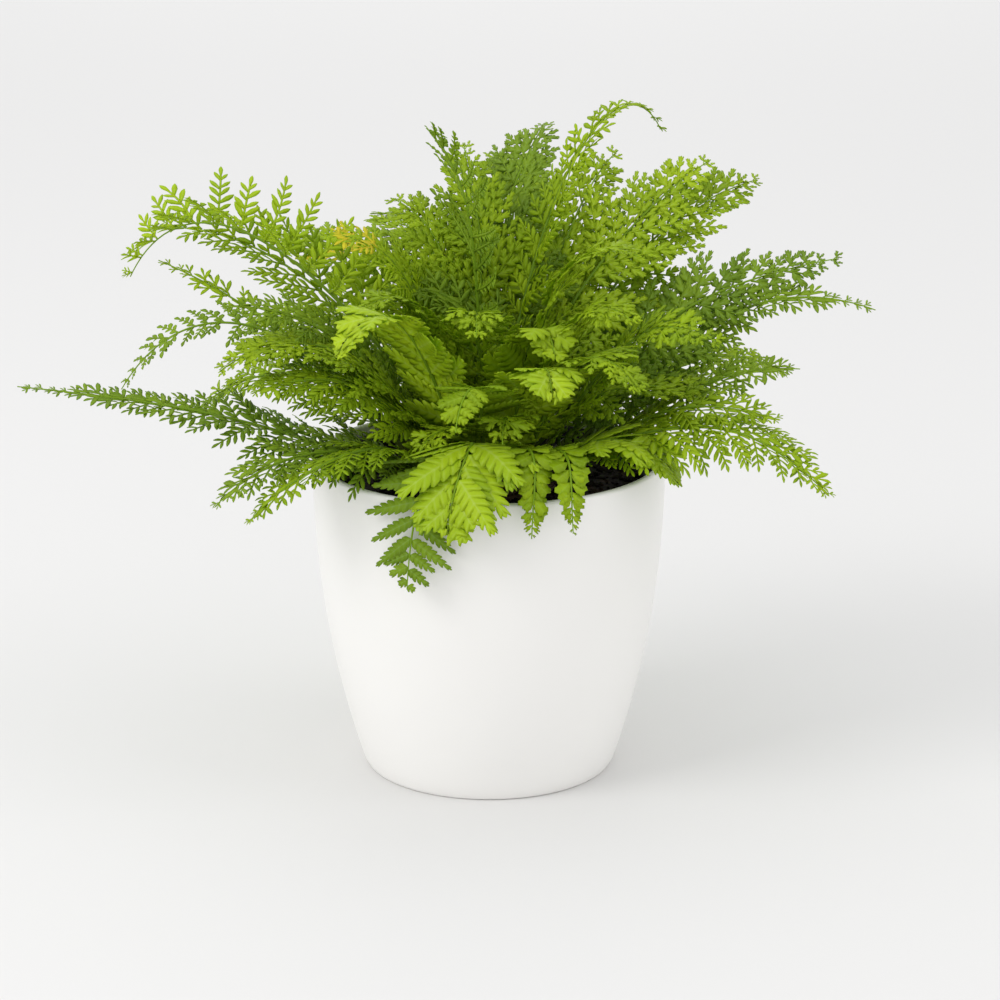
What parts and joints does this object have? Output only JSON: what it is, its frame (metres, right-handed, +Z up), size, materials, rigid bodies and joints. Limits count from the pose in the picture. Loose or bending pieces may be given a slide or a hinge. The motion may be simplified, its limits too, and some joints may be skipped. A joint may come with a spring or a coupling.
{
  "type": "potted fern",
  "caption": "Bushy fern with finely divided arching fronds, growing in a black grow pot inside a smooth white round cover pot.",
  "frame": {"origin": "middle of the cover pot's flat base, on the surface it stands on", "axes": "+Z up along the pot's axis, -Y towards the plant's front, +X to the right seen from the front"},
  "size_m": [0.3345, 0.2265, 0.2635],
  "materials": {
    "white_pot": "smooth satin white plastic",
    "black_pot": "thin black grow-pot plastic",
    "potting_mix": "dark damp crumbly bark and peat mix",
    "crown": "rough brown scales",
    "leaf_light": "bright yellow-green leaf, soft sheen",
    "leaf_mid": "fresh green leaf, soft sheen",
    "leaf_deep": "deep green leaf, soft sheen"
  },
  "bodies": {
    "root": {"cover_pot": "white_pot", "grow_pot": "black_pot", "potting_mix": "potting_mix", "crown": "crown", "frond_01": "leaf_deep", "frond_02": "leaf_deep", "frond_03": "leaf_deep", "frond_04": "leaf_mid", "frond_05": "leaf_deep", "frond_06": "leaf_light", "frond_07": "leaf_mid", "frond_08": "leaf_mid", "frond_09": "leaf_light", "frond_10": "leaf_mid", "frond_11": "leaf_mid", "frond_12": "leaf_deep", "frond_13": "leaf_deep", "frond_14": "leaf_mid", "frond_15": "leaf_mid", "frond_16": "leaf_mid", "frond_17": "leaf_mid", "frond_18": "leaf_mid", "frond_19": "leaf_mid", "frond_20": "leaf_mid", "frond_21": "leaf_mid", "frond_22": "leaf_deep", "frond_23": "leaf_mid", "frond_24": "leaf_mid", "frond_25": "leaf_mid", "frond_26": "leaf_mid", "frond_27": "leaf_mid", "frond_28": "leaf_mid", "frond_29": "leaf_light", "frond_30": "leaf_deep", "frond_31": "leaf_mid", "frond_32": "leaf_light", "frond_33": "leaf_mid", "frond_34": "leaf_light", "frond_35": "leaf_mid", "frond_36": "leaf_mid", "frond_37": "leaf_mid", "frond_38": "leaf_light", "frond_39": "leaf_mid", "frond_40": "leaf_deep", "frond_41": "leaf_mid", "frond_42": "leaf_mid", "frond_43": "leaf_mid", "frond_44": "leaf_deep", "frond_45": "leaf_mid", "frond_46": "leaf_deep", "frond_47": "leaf_deep", "frond_48": "leaf_deep", "frond_49": "leaf_mid", "frond_50": "leaf_mid", "frond_51": "leaf_mid", "frond_52": "leaf_mid", "frond_53": "leaf_mid", "frond_54": "leaf_mid", "frond_55": "leaf_mid", "frond_56": "leaf_mid"}
  },
  "joints": []
}
